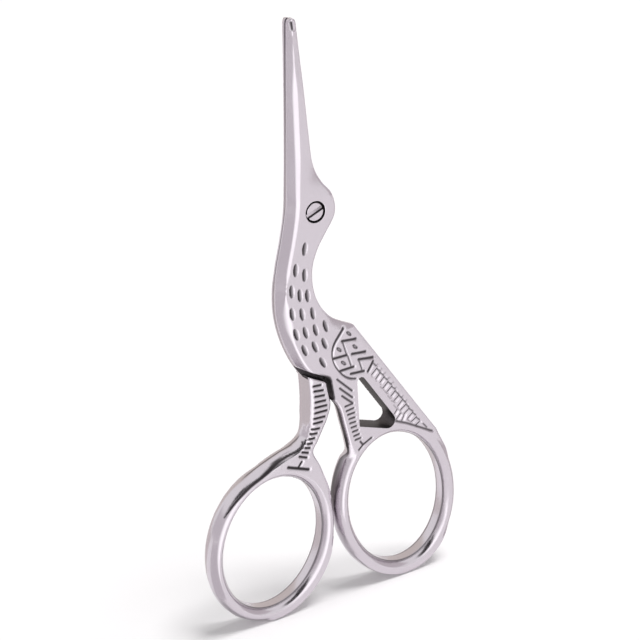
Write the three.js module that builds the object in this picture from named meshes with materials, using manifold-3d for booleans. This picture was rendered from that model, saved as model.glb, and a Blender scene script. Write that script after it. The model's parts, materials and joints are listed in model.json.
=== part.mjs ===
// Embroidery scissors in the shape of a standing stork, tips up, on its two finger rings.
// Millimetres, +Z up, front face towards -Y, origin under the middle between the rings.
import * as THREE from 'three';
import { mergeVertices } from 'three/addons/utils/BufferGeometryUtils.js';
import Module from 'manifold-3d';

// Driving dimensions
const thickness = 3.8;
const pivotX = -0.78;
const pivotHeight = 64.85;
const bladeLength = 29.15; // pivot to tip
const tipWidth = 1.25;
const tipThickness = 1.9;
const tipRounding = 0.5;
const bladeLap = 0.35; // how far the rear tip stands out to the left of the front one
const bevelWidth = 1.0; // left bevel along neck and belly
const legBevelWidth = 0.6; // left bevel along the right leg
const backBevelWidth = 0.55; // right bevel along head, nape and tail
const backBevelDepth = 0.5;
const edgeLand = 0.4; // half the height of the plain wall at a thin edge
const ridgeFlat = 0.3; // width of the rounded ridge on the beak
const taperStart = 2; // above the pivot, where the blades begin to thin
const beakStart = 4; // above the pivot, where the flat head begins to turn into the ridged beak
const beakFull = 11;
const legStart = 26; // below the pivot, where the left bevel begins to narrow for the leg
const legFull = 31.6;
const leftLegRoot = 22; // below the pivot, where the left leg begins inside the body
const leftLegFoot = 5.6; // above the left ring's centre, where it ends inside the ring's bar

// Finger rings, tops leaning towards the middle; half sizes run to the bar's centre line
const ringHalfWidth = 9.88;
const leftRingHalfHeight = 12.0;
const rightRingHalfHeight = 12.7;
const leftRingTilt = THREE.MathUtils.degToRad(14);
const rightRingTilt = THREE.MathUtils.degToRad(11.6);
const ringBarWidth = 2.34;
const ringRoundness = 2.9; // exponent of the bar's section: 2 is an ellipse, more is squarer
const ringGap = 0.3; // between the closed rings

// Clearances between the two halves
const partingGap = 0.12;
const shoulderGap = 0.35;
const bellyGap = 0.95;

// Pivot screw
const headRadius = 1.45;
const headHeight = 0.8;
const headSink = 0.08; // head and shank end this far inside the two faces
const shankRadius = 0.9;
const runningClearance = 0.08;
const threadClearance = 0.05;
const headClearance = 0.18;
const seatClearance = 0.1;
const slotWidth = 0.45;
const slotDepth = 0.4;
const slotAngle = THREE.MathUtils.degToRad(21);

// Facets
const stationStep = 0.5;
const outlineSamples = 200;
const ringStations = 64;
const ringSectionSides = 16;
const roundSides = 32;
const cornerSides = 10;
const leastStep = 0.025; // sections closer than this count as one

// Sizes that follow
const half = thickness / 2;
const halfParting = partingGap / 2;
const tipHeight = pivotHeight + bladeLength;
const reach = tipHeight; // cutters run this far past the part
const headFront = -half + headSink;
const headBack = headFront + headHeight;

const wasm = await Module();
wasm.setup();

const { lerp, smoothstep, clamp } = THREE.MathUtils;
const point = (x, z) => new THREE.Vector2(x, z);

// A tilted oval ring standing on z = 0 beside the middle. side is 1 right, -1 left.
function ringPlace(side, halfHeight, tilt) {
  const spreadX = Math.hypot(ringHalfWidth * Math.cos(tilt), halfHeight * Math.sin(tilt));
  const spreadZ = Math.hypot(ringHalfWidth * Math.sin(tilt), halfHeight * Math.cos(tilt));
  const centre = point(side * ((ringGap + ringBarWidth) / 2 + spreadX), ringBarWidth / 2 + spreadZ);
  return { centre, halfHeight, tilt: side * tilt };
}
const leftRing = ringPlace(-1, leftRingHalfHeight, leftRingTilt);
const rightRing = ringPlace(1, rightRingHalfHeight, rightRingTilt);

// Places on the bird are measured from the pivot, places at its feet from a ring's centre.
const onBird = (x, z) => point(pivotX + x, pivotHeight + z);
const onLeftRing = (x, z) => point(leftRing.centre.x + x, leftRing.centre.y + z);
const onRightRing = (x, z) => point(rightRing.centre.x + x, rightRing.centre.y + z);

// A smooth outline read as x at a height; its points run from high to low.
function outline(points) {
  const samples = new THREE.SplineCurve(points).getPoints(outlineSamples);
  const read = (z) => {
    const next = samples.findIndex((sample) => sample.y <= z);
    if (next === 0) return samples[0].x;
    if (next < 0) return samples.at(-1).x;
    const above = samples[next - 1];
    const below = samples[next];
    return lerp(below.x, above.x, (z - below.y) / (above.y - below.y));
  };
  const slope = (z) => (read(z + stationStep / 2) - read(z - stationStep / 2)) / stationStep;
  return { read, slope };
}

// The bird's front edge: beak, throat, breast, belly and the right leg's inner side.
const breast = outline([
  onBird(-1.35 - tipWidth / 2, bladeLength),
  onBird(-2.85, bladeLength - 12.4),
  onBird(-3.8, 4.4),
  onBird(-4.2, 0.4),
  onBird(-5.1, -3.6),
  onBird(-6.2, -7.6),
  onBird(-7.0, -11.6),
  onBird(-7.05, -15.6),
  onBird(-6.25, -19.6),
  onBird(-4.65, -23.6),
  onBird(-2.8, -26.4),
  onBird(-0.8, -28.7),
  onBird(1.1, -30.75),
  onBird(2.5, -32.5),
  onRightRing(-8.88, 15.83),
  onRightRing(-8.47, 13.83),
  onRightRing(-8.13, 11.93),
  onRightRing(-7.97, 9.33),
]);

// The bird's back edge: beak, crown, nape and shoulder, then straight down the tail to the ring.
const shoulder = onBird(5.7, -19.5);
const tailFoot = onRightRing(7.82, 9.93);
const heel = onRightRing(9.3, 5.9);
const nape = outline([
  onBird(-1.35 + tipWidth / 2, bladeLength),
  onBird(-0.25, bladeLength - 9.2),
  onBird(0.15, 11.5),
  onBird(0.5, 7),
  onBird(1.5, 4.4),
  onBird(2.95, 2.4),
  onBird(3.5, 0.2),
  onBird(3.1, -1.6),
  onBird(1.65, -3.6),
  onBird(0.12, -5.8),
  onBird(-0.93, -8.4),
  onBird(-1.1, -11.2),
  onBird(-0.6, -13.6),
  onBird(0.6, -15.8),
  onBird(2.4, -17.7),
  shoulder,
]);
const lean = (from, to) => (from.x - to.x) / (from.y - to.y);
const tailSlope = lean(shoulder, tailFoot);
const heelSlope = lean(tailFoot, heel);
const back = {
  read: (z) => {
    if (z > shoulder.y) return nape.read(z);
    if (z > tailFoot.y) return shoulder.x + (z - shoulder.y) * tailSlope;
    return tailFoot.x + (z - tailFoot.y) * heelSlope;
  },
  slope: (z) => {
    if (z > shoulder.y) return nape.slope(z);
    return z > tailFoot.y ? tailSlope : heelSlope;
  },
};

// The left leg, from inside the body down to the left ring.
const legOuter = outline([
  onBird(-3.12, -leftLegRoot),
  onBird(-2.87, -26),
  onBird(-2.8, -29.4),
  onLeftRing(7.52, 19.35),
  onLeftRing(7.04, 17.45),
  onLeftRing(6.2, 15.9),
  onLeftRing(4.33, 14.85),
  onLeftRing(1.79, 14.1),
  onLeftRing(-0.7, 13.15),
  onLeftRing(-3.2, 11.7),
]);
const legInner = outline([
  onBird(0.3, -leftLegRoot),
  onBird(0.3, -27.3),
  onBird(0.75, -31.1),
  onLeftRing(10.65, 18.45),
  onLeftRing(9.7, 16.75),
  onLeftRing(8.7, 15.05),
  onLeftRing(7.75, 13.35),
  onLeftRing(8.8, 10.85),
  onLeftRing(9.75, 7.9),
  onLeftRing(10.2, leftLegFoot),
]);

// Closed geometry to a solid: shared corners merged, pinched triangles dropped.
function solid(geometry) {
  geometry.deleteAttribute('normal');
  geometry.deleteAttribute('uv');
  const merged = mergeVertices(geometry);
  const corners = merged.index.array;
  const triVerts = [];
  for (let i = 0; i < corners.length; i += 3) {
    const [a, b, c] = [corners[i], corners[i + 1], corners[i + 2]];
    if (a !== b && b !== c && c !== a) triVerts.push(a, b, c);
  }
  return new wasm.Manifold(new wasm.Mesh({
    numProp: 3,
    vertProperties: merged.attributes.position.array,
    triVerts: new Uint32Array(triVerts),
  }));
}

// Skin over sections of equal count, each counter-clockwise seen from the end of the path.
function loft(sections, closed = false) {
  const count = sections[0].length;
  const positions = sections.flat().flatMap((corner) => [corner.x, corner.y, corner.z]);
  const index = [];
  const spans = closed ? sections.length : sections.length - 1;
  for (let s = 0; s < spans; s++) {
    const near = s * count;
    const far = ((s + 1) % sections.length) * count;
    for (let j = 0; j < count; j++) {
      const k = (j + 1) % count;
      index.push(near + j, near + k, far + k, near + j, far + k, far + j);
    }
  }
  if (!closed) {
    const last = (sections.length - 1) * count;
    for (let j = 1; j < count - 1; j++) {
      index.push(0, j + 1, j, last, last + j, last + j + 1);
    }
  }
  const geometry = new THREE.BufferGeometry();
  geometry.setAttribute('position', new THREE.Float32BufferAttribute(positions, 3));
  geometry.setIndex(index);
  return solid(geometry);
}

// One level section: thin edges left and right, ridges inside them, alike front and back.
function section(z, left, leftRidge, rightRidge, right, leftLand, depth, rightLand) {
  const front = [[left, leftLand], [leftRidge, depth], [rightRidge, depth], [right, rightLand]];
  return [
    ...front.map(([x, y]) => new THREE.Vector3(x, -y, z)),
    ...front.reverse().map(([x, y]) => new THREE.Vector3(x, y, z)),
  ];
}

// Heights of the sections, with one at each corner of the outline.
function stations(low, high, corners) {
  const heights = [low, high, ...corners];
  for (let z = low + stationStep; z < high; z += stationStep) heights.push(z);
  const sorted = heights.sort((a, b) => a - b);
  return sorted.filter((z, i) => i === 0 || z - sorted[i - 1] > leastStep);
}

// The whole bird as one blank, full thickness, before it is parted into front and rear.
function birdBlank(lap) {
  const heights = stations(heel.y, tipHeight, [tailFoot.y, shoulder.y, tipHeight - tipRounding]);
  return loft(heights.map((z) => {
    const above = z - pivotHeight;
    const shift = -lap * clamp(above / bladeLength, 0, 1) ** 2;
    const width = back.read(z) - breast.read(z);
    const beak = smoothstep(above, beakStart, beakFull);
    const leg = smoothstep(-above, legStart, legFull);
    const taper = clamp((above - taperStart) / (bladeLength - taperStart), 0, 1);
    const depth = lerp(half, tipThickness / 2, taper);
    const beakBevel = (width - ridgeFlat) / 2;
    const leftBevel = lerp(bevelWidth, legBevelWidth, leg) * Math.hypot(1, breast.slope(z));
    const rightBevel = backBevelWidth * Math.hypot(1, back.slope(z));
    const end = z > tipHeight - tipRounding / 2 ? tipRounding : 0;
    const left = breast.read(z) + end / 2;
    const right = back.read(z) - end / 2;
    const leftRidge = left + Math.min(lerp(leftBevel, beakBevel, beak), beakBevel) - end / 4;
    const rightRidge = right - Math.min(lerp(rightBevel, beakBevel, beak), beakBevel) + end / 4;
    const rightLand = lerp(depth - backBevelDepth, edgeLand, beak);
    const corners = section(z, left, leftRidge, rightRidge, right, edgeLand, depth - end / 2, rightLand);
    return corners.map((corner) => corner.setX(corner.x + shift));
  }));
}

// The left leg at full thickness, its top still inside the body.
function leftLegBlank() {
  const top = pivotHeight - leftLegRoot;
  const foot = leftRing.centre.y + leftLegFoot;
  return loft(stations(foot, top, []).map((z) => {
    const left = legOuter.read(z);
    const right = legInner.read(z);
    const bevel = Math.min(backBevelWidth, (right - left - ridgeFlat) / 2);
    const land = half - backBevelDepth;
    return section(z, left, left + bevel, right - bevel, right, land, half, land);
  }));
}

// An oval finger ring: a rounded bar carried round its centre line.
function fingerRing(ring) {
  const sections = [];
  for (let i = 0; i < ringStations; i++) {
    const turn = 2 * Math.PI * i / ringStations;
    const along = point(ringHalfWidth * Math.cos(turn), ring.halfHeight * Math.sin(turn));
    const outward = point(Math.cos(turn) / ringHalfWidth, Math.sin(turn) / ring.halfHeight).normalize();
    const corners = [];
    for (let j = 0; j < ringSectionSides; j++) {
      const angle = 2 * Math.PI * j / ringSectionSides;
      const swell = (value) => Math.sign(value) * Math.abs(value) ** (2 / ringRoundness);
      const across = swell(Math.cos(angle)) * ringBarWidth / 2;
      const place = outward.clone().multiplyScalar(across).add(along);
      place.rotateAround(point(0, 0), ring.tilt).add(ring.centre);
      corners.push(new THREE.Vector3(place.x, swell(Math.sin(angle)) * half, place.y));
    }
    sections.push(corners);
  }
  return loft(sections, true);
}

// A flat outline in X and Z, carried from y0 back to y1.
function prism(shape, y0, y1) {
  const settings = { depth: y1 - y0, bevelEnabled: false, curveSegments: cornerSides };
  const geometry = new THREE.ExtrudeGeometry(shape, settings);
  return solid(geometry.rotateX(Math.PI / 2).translate(0, y1, 0));
}

// What lies inside a ring's centre line, so that a leg ends in the middle of the ring's bar.
function ringCore({ centre, halfHeight, tilt }) {
  const shape = new THREE.Shape();
  shape.absellipse(centre.x, centre.y, ringHalfWidth, halfHeight, 0, 2 * Math.PI, false, tilt);
  return prism(new THREE.Shape(shape.getPoints(ringStations / 4)), -reach, reach);
}

// The shoulder line: right of it the front half keeps its full thickness,
// left of it and above it the rear half lies behind the front one.
const shoulderLine = [
  onBird(3.3, -15),
  onBird(1.9, -19.5),
  onBird(0.95, -23),
  onBird(1.1, -27.2),
  onBird(0.6, -30),
];
function rearRoom(inset, y0, y1) {
  const line = new THREE.SplineCurve(shoulderLine).getPoints(roundSides / 2);
  const shape = new THREE.Shape([
    ...line.map((place) => point(place.x - inset, place.y)),
    point(-reach, line.at(-1).y),
    point(-reach, pivotHeight + reach),
    point(reach, pivotHeight + reach),
    point(reach, line[0].y),
  ]);
  return prism(shape, y0, y1);
}

// The belly's straight edge, with room under it for the left leg.
const bellyLeft = onBird(-4.36, -24.1);
const crotch = onBird(0.78, -26.85);
const legTop = onBird(1.28, -30.85);
const bellySlope = 1 / lean(bellyLeft, crotch);
const bellyLine = (x, drop) => point(x, crotch.y + (x - crotch.x) * bellySlope - drop);

// Everything under the belly's edge, left of the right leg.
function underBelly() {
  const shape = new THREE.Shape([bellyLine(-reach, 0), crotch, legTop, point(-reach, legTop.y)]);
  return prism(shape, -reach, reach);
}

// Everything above the left leg's top, in front of the parting plane.
function overLeg() {
  const shape = new THREE.Shape([
    bellyLine(-reach, bellyGap),
    bellyLine(reach, bellyGap),
    point(reach, pivotHeight + reach),
    point(-reach, pivotHeight + reach),
  ]);
  return prism(shape, -reach, halfParting);
}

// The window between right leg, tail and ring: three straight sides, corners rounded by arcs.
function window() {
  const corners = [
    { at: onBird(5.58, -26.65), radius: 0.7 },
    { at: onRightRing(-6.53, 14.63), radius: 0.25 },
    { at: onRightRing(1.66, 11.73), radius: 1.2 },
  ];
  const shape = new THREE.Shape();
  corners.forEach(({ at, radius }, i) => {
    const inward = corners.at(i - 1).at.clone().sub(at).normalize();
    const onward = corners[(i + 1) % corners.length].at.clone().sub(at).normalize();
    const halfAngle = Math.acos(inward.dot(onward)) / 2;
    const centre = inward.clone().add(onward).setLength(radius / Math.sin(halfAngle)).add(at);
    const turned = Math.PI / 2 - halfAngle;
    const facing = at.clone().sub(centre).angle();
    shape.absarc(centre.x, centre.y, radius, facing - turned, facing + turned, false);
  });
  return prism(shape, -reach, reach);
}

// A round cutter or pin about the pivot, from y0 back to y1.
function pivotRound(radius, y0, y1) {
  const geometry = new THREE.CylinderGeometry(radius, radius, y1 - y0, roundSides);
  return solid(geometry.translate(pivotX, (y0 + y1) / 2, pivotHeight));
}

// Front half: front blade, head, neck, body, tail and right leg in one, down to the right ring.
function frontHalf() {
  return birdBlank(0)
    .subtract(rearRoom(0, -halfParting, reach))
    .subtract(underBelly())
    .subtract(ringCore(rightRing))
    .add(fingerRing(rightRing))
    .subtract(window())
    .subtract(pivotRound(shankRadius + runningClearance, -reach, reach))
    .subtract(pivotRound(headRadius + headClearance, -reach, headBack + seatClearance));
}

// Rear half: rear blade and body behind the front ones, left leg and left ring.
function rearHalf() {
  const body = birdBlank(bladeLap).intersect(rearRoom(shoulderGap, halfParting, reach));
  const leg = leftLegBlank()
    .subtract(overLeg())
    .subtract(ringCore(leftRing));
  return body
    .add(leg)
    .add(fingerRing(leftRing))
    .subtract(pivotRound(shankRadius + threadClearance, -reach, reach));
}

// Pivot screw: slotted head sunk in the front, shank through both halves, sunk at the back too.
function pivotScrew() {
  const slot = new THREE.BoxGeometry(4 * headRadius, 2 * slotDepth, slotWidth);
  slot.rotateY(-slotAngle).translate(pivotX, headFront, pivotHeight);
  return pivotRound(headRadius, headFront, headBack)
    .add(pivotRound(shankRadius, headFront, half - headSink))
    .subtract(solid(slot));
}

function steelMesh(name, shape, colour, roughness) {
  const { vertProperties, triVerts } = shape.getMesh();
  const geometry = new THREE.BufferGeometry();
  geometry.setAttribute('position', new THREE.BufferAttribute(vertProperties, 3));
  geometry.setIndex(new THREE.BufferAttribute(triVerts, 1));
  geometry.computeVertexNormals();
  const steel = new THREE.MeshStandardMaterial({ color: colour, roughness, metalness: 1 });
  const mesh = new THREE.Mesh(geometry, steel);
  mesh.name = name;
  return mesh;
}

const scissors = new THREE.Group();
scissors.add(steelMesh('rear_half', rearHalf(), 0xc8c4c8, 0.3));
scissors.add(steelMesh('front_half', frontHalf(), 0xcfcbcf, 0.28));
scissors.add(steelMesh('pivot_screw', pivotScrew(), 0xd2d0d4, 0.22));

export default scissors;
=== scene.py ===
import json
import math

import bpy
import numpy as np
from mathutils import Matrix, Vector


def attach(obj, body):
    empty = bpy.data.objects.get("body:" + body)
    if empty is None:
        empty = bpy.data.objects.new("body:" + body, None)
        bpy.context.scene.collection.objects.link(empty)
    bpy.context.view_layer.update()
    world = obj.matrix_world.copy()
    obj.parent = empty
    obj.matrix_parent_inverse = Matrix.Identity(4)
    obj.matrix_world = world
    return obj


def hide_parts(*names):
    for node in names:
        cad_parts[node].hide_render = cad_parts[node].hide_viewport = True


# Stork embroidery scissors, standing on their finger rings. Lengths here are millimetres,
# meshes are written in metres, front towards -Y.
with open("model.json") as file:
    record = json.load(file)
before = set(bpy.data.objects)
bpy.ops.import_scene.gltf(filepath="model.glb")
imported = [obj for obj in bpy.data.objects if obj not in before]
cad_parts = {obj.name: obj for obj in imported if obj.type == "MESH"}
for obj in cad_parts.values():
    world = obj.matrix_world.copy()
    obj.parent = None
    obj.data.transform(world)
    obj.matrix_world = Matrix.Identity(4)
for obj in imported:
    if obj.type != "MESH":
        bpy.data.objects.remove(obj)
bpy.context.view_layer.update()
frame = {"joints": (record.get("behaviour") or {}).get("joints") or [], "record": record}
mm = 0.001

pivotX, pivotZ = (frame["joints"][0]["pos_m"][k] / mm for k in (0, 2))
openings = {o["name"]: np.mean(o["box_m"], axis=0) / mm for o in frame["record"]["physics"]["openings"]}
leftCentre = openings["left_finger_ring"][[0, 2]]
rightCentre = openings["right_finger_ring"][[0, 2]]
birdCentre = np.array([pivotX, pivotZ])


# the lesser or greater of two fields, blended over a width k where they cross
def softMin(a, b, k):
    return np.minimum(a, b) - np.maximum(k - np.abs(a - b), 0) ** 2 / (4 * k)


def softMax(a, b, k):
    return -softMin(-a, -b, k)


# 0 below low, 1 above high, an S between
def ease(value, low, high):
    t = np.clip((value - low) / (high - low), 0, 1)
    return t * t * (3 - 2 * t)


# a at 0, b at 1, straight between
def mix(a, b, t):
    return a + (b - a) * t


# a field that is zero all over
def nothing(x, z):
    return np.zeros(x.shape)


# Smooth line through points: on each span a cubic whose end slopes are half the chord
# between the neighbours.
def smoothLine(points, perSpan=16):
    p = np.asarray(points, float)
    before = np.vstack([p[:1], p[:-2]])
    after = np.vstack([p[2:], p[-1:]])
    a, b = p[:-1], p[1:]
    v0, v1 = (b - before) / 2, (after - a) / 2
    t = (np.arange(perSpan) / perSpan)[:, None, None]
    line = (2 * a - 2 * b + v0 + v1) * t ** 3 + (3 * b - 3 * a - 2 * v0 - v1) * t ** 2 + v0 * t + a
    return np.vstack([line.transpose(1, 0, 2).reshape(-1, 2), p[-1:]])


# An outline that falls steadily in z, kept as x and lean over z. The lean is the outline's length over its
# height, from a slope averaged over a few samples.
def asEdge(line, samples=1200, averaged=9):
    z = np.linspace(line[-1, 1], line[0, 1], samples)
    x = np.interp(z, line[::-1, 1], line[::-1, 0])
    slope = np.pad(np.gradient(x, z), averaged // 2, "edge")
    return {"z": z, "x": x, "lean": np.hypot(1, np.convolve(slope, np.ones(averaged) / averaged, "valid"))}


# How far a point lies right of an outline: level distance over the outline's lean.
def rightOf(edge, x, z):
    return (x - np.interp(z, edge["z"], edge["x"])) / np.interp(z, edge["z"], edge["lean"])


# How far a point lies left of the straight line from a to b, looking along it.
def leftOfLine(a, b, x, z):
    along = (np.asarray(b) - a) / np.linalg.norm(np.asarray(b) - a)
    return along[0] * (z - a[1]) - along[1] * (x - a[0])


# Distance to the nearest line of a group, at most farthest, and counted shorter where the group is broader.
def toLines(x, z, group, farthest=9.0):
    least = np.full(x.shape, farthest)
    for (x0, z0, x1, z1), broad in zip(group["lines"], group.get("taper", np.ones(len(group["lines"])))):
        dx, dz = x1 - x0, z1 - z0
        along = np.clip(((x - x0) * dx + (z - z0) * dz) / (dx ** 2 + dz ** 2), 0, 1)
        least = np.minimum(least, np.hypot(x - x0 - along * dx, z - z0 - along * dz) / broad)
    return least


# Outline points are x and z from the pivot, those of rightLegFront and tail from the right ring's centre.
# A run is where one value goes over into the next, in height above or below the pivot, or over the floor
# where so marked.
bird = {
    "breast": [
        (-1.975, 29.15), (-2.85, 16.75), (-3.8, 4.4), (-4.2, 0.4), (-5.1, -3.6), (-6.2, -7.6), (-7.0, -11.6),
        (-7.05, -15.6), (-6.25, -19.6), (-4.65, -23.6), (-2.8, -26.4), (-0.8, -28.7), (1.05, -30.75),
        (2.15, -32.5)],
    "rightLegFront": [(-9.35, 15.83), (-8.92, 13.83), (-8.58, 11.93), (-8.3, 9.33)],
    "nape": [
        (-0.725, 29.15), (-0.25, 19.95), (0.15, 11.5), (0.5, 7), (1.5, 4.4), (2.95, 2.4), (3.5, 0.2),
        (3.1, -1.6), (1.65, -3.6), (0.12, -5.8), (-0.93, -8.4), (-1.1, -11.2), (-0.6, -13.6), (0.6, -15.8),
        (2.4, -17.7), (5.7, -19.5)],
    "tail": [(7.82, 9.93), (9.3, 5.9)],
    "shoulderLine": [(3.3, -15), (1.9, -19.5), (0.95, -23), (1.1, -27.2), (0.6, -30)],  # rear plate's end
    "belly": [(-4.36, -24.1), (0.78, -26.85), (1.28, -30.85)],
    "bladeLength": 29.15, "bladeLap": 0.3, "tipRound": 0.9,
    "half": 1.9, "tipHalf": 0.95, "taperStart": 2.0,
    "tipEnd": (0.5, 1.6, 0.3),  # half thickness at the very tip, its slope and rounding
    # rise from the front edge, and the flat land that it starts from
    "bevelSlope": 1.38, "beakSlope": 1.15, "legSlope": 1.2, "land": 0.4, "beakLand": 0.25, "legLand": 1.55,
    "beakRun": (1.0, 9.5), "legRun": (26.0, 31.6),
    # bevel along the back edge, on the neck and on the body
    "backBevel": 0.4, "backDrop": 0.2, "backRound": 0.2, "bodyBevel": 0.9, "bodyDrop": 0.5, "bodyRound": 0.6,
    "bodyRun": (12, 18),
    # facet beside the ridge of beak and neck
    "facetSlope": 0.43, "facetWidth": 0.47, "neckFacet": 0.3, "crestRight": 0.3, "crestRound": 0.05,
    "facetRun": (-6, 9), "facetEnd": (17, 25), "neckEnd": (8.5, 10.8),
    # rounding of the ridge
    "facetRound": 0.1, "bellyRound": 1.4, "lowerRound": 0.45, "legRound": 0.15, "heelRound": 1.3,
    "bellyRun": (11.5, 15), "lowerRun": (16.5, 20), "heelRun": (23, 27),  # the last over the floor
    # room between the halves
    "parting": 0.06, "shoulderGap": 0.35, "bellyGap": 0.95, "bellyCorner": 0.5,
    # rounded back of the front half, runs over the floor
    "shoulderRound": 1.6, "shoulderDrop": 2.2, "shoulderRise": (33, 45.5), "shoulderEnd": (48.5, 51),
    "legBackRun": (22.5, 24.5),
    "plateFall": 4, "plateBlend": 0.2,  # how the rear plate's face falls off past its edge
}
breastEdge = asEdge(smoothLine(np.vstack([birdCentre + bird["breast"], rightCentre + bird["rightLegFront"]])))
tailFoot, heel = rightCentre + bird["tail"]
backEdge = asEdge(np.vstack([smoothLine(birdCentre + bird["nape"]), [tailFoot], [heel]]))
shoulderEdge = asEdge(smoothLine(birdCentre + bird["shoulderLine"]))
bellyLeft, crotch, legTop = birdCentre + bird["belly"]
tipZ = pivotZ + bird["bladeLength"]

# outer and inner are from the pivot, both feet from the left ring's centre, heights over the floor
leftLeg = {
    "outer": [(-3.12, -22), (-2.87, -26), (-2.8, -29.4)],
    "outerFoot": [
        (7.52, 19.35), (7.04, 17.45), (6.2, 15.9), (4.33, 14.85), (1.79, 14.1), (-0.7, 13.15), (-3.2, 11.7)],
    "inner": [(0.3, -22), (0.3, -27.3), (0.75, -31.1)],
    "innerFoot": [
        (10.65, 18.45), (9.7, 16.75), (8.7, 15.05), (7.75, 13.35), (8.8, 10.85), (9.75, 7.9), (10.2, 5.6)],
    "edgeBevel": 0.5, "edgeDrop": 0.3, "edgeRound": 0.2,
    "footTop": 33.0, "footRun": 4.5, "footReach": 0.95, "footDrop": 0.75, "reachRun": (25, 28),
    "nearHeights": (20, 35), "nearRight": 1, "nearTop": 34.5, "nearRun": 1.5,  # where the foot's edge turns
    "domeEnd": 1.3, "sideStart": 0.3, "sideFall": 6, "topFall": 4, "footSwellRun": (0.6, 1.6),
}
legOuterLine = smoothLine(np.vstack([birdCentre + leftLeg["outer"], leftCentre + leftLeg["outerFoot"]]))
legInnerLine = smoothLine(np.vstack([birdCentre + leftLeg["inner"], leftCentre + leftLeg["innerFoot"]]))
legOuterEdge, legInnerEdge = asEdge(legOuterLine), asEdge(legInnerLine)

rings = {
    "left": {"centre": leftCentre, "halfHeight": 12.0, "tilt": math.radians(-14)},
    "right": {"centre": rightCentre, "halfHeight": 12.7, "tilt": math.radians(11.6)},
    "halfWidth": 9.88, "barHalf": 1.16, "innerWall": 0.9, "outerWall": 1.2, "domePower": 2.2,
    "fillet": 0.7, "fade": 1.5, "blend": 0.3,  # how a leg runs into its ring
    "swell": 0.32, "edgeSwell": 0.03, "swellRun": (0, 0.4), "freeRun": (0.3, 3.0),
    # painted shade along each ring's inner edge: its width and darkness
    "edgeShadeWidth": 0.2, "edgeShadeDark": 0.75,
}
window = {
    "corners": [birdCentre + (5.58, -26.65), rightCentre + (-6.53, 14.63), rightCentre + (1.66, 11.73)],
    "rounds": [0.7, 0.25, 1.2], "reach": 2.0,
}


# Corners replaced by arcs that touch both sides.
def roundCorners(corners, rounds, steps=8):
    line = []
    for k, (at, r) in enumerate(zip(corners, rounds)):
        back = (corners[k - 1] - at) / np.linalg.norm(corners[k - 1] - at)
        on = corners[(k + 1) % len(corners)] - at
        on = on / np.linalg.norm(on)
        halfAngle = math.acos(back @ on) / 2
        middle = at + (back + on) / np.linalg.norm(back + on) * r / math.sin(halfAngle)
        outwards = math.atan2(*(at - middle)[::-1])
        turn = outwards + np.linspace(-1, 1, steps) * (math.pi / 2 - halfAngle)
        line.append(middle + r * np.stack([np.cos(turn), np.sin(turn)], axis=1))
    return np.vstack(line)


windowLine = roundCorners(window["corners"], window["rounds"])

screw = {
    "headRadius": 1.42, "headHeight": 0.8, "headSink": 0.08, "shankRadius": 0.9, "edgeRound": 0.16,
    "headRoom": 0.24, "threadRoom": 0.05,
    "slotWidth": 0.72, "slotDepth": 0.35, "slotAngle": math.radians(21), "slotRound": 0.1, "slotShare": 0.5,
    # painted shade in the slot: along its lower and upper corners, across its floor, and its deepest
    "lowerCornerShade": 0.9, "lowerRun": (0.06, 0.2), "upperCornerShade": 0.55, "upperRun": (-0.16, -0.05),
    "slotFloorShade": (0.1, 0.4), "floorRun": (-0.7, 1.2), "deepestSlotShade": 0.95, "gridHalf": 1.5,
}


# Signed distance from a ring's oval centre line: oval radius less one, over its slope.
def ringOffset(ring, x, z):
    dx, dz = x - ring["centre"][0], z - ring["centre"][1]
    u = dx * math.cos(ring["tilt"]) + dz * math.sin(ring["tilt"])
    v = dz * math.cos(ring["tilt"]) - dx * math.sin(ring["tilt"])
    a, b = rings["halfWidth"], ring["halfHeight"]
    r = np.hypot(u / a, v / b) + 1e-9
    return (r - 1) * r / (np.hypot(u / a ** 2, v / b ** 2) + 1e-9)


# Half thickness of a ring: a dome that meets the punched inside wall at an edge and slopes down to the
# outside wall, which carries its curve on.
def ringHalf(rho):
    power = rings["domePower"]
    drop = np.where(rho < 0, bird["half"] - rings["innerWall"], bird["half"] - rings["outerWall"])
    reach = np.where(rho < 0, rings["barHalf"], rings["barHalf"] - rings["swell"])
    t = np.abs(rho) / reach
    return bird["half"] - drop * np.minimum(t, 1) ** power - power * drop * np.maximum(t - 1, 0)


# Painted shade: a dark line in the crease of a ring's inner edge, where the dome meets the punched wall,
# 1 on it and 0 past its width.
def ringEdgeShade(ring, x, z):
    width = rings["edgeShadeWidth"]
    return 1 - ease(np.abs(ringOffset(ring, x, z) + rings["barHalf"]), 0.3 * width, width)


# How far a wall bulges half way through its thickness: little on a cut edge, most on a ring's free outside.
def ringSwell(ring, free, x, z):
    outside = ease(ringOffset(ring, x, z), *rings["swellRun"])
    return mix(rings["edgeSwell"], rings["swell"], free * outside)


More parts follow.
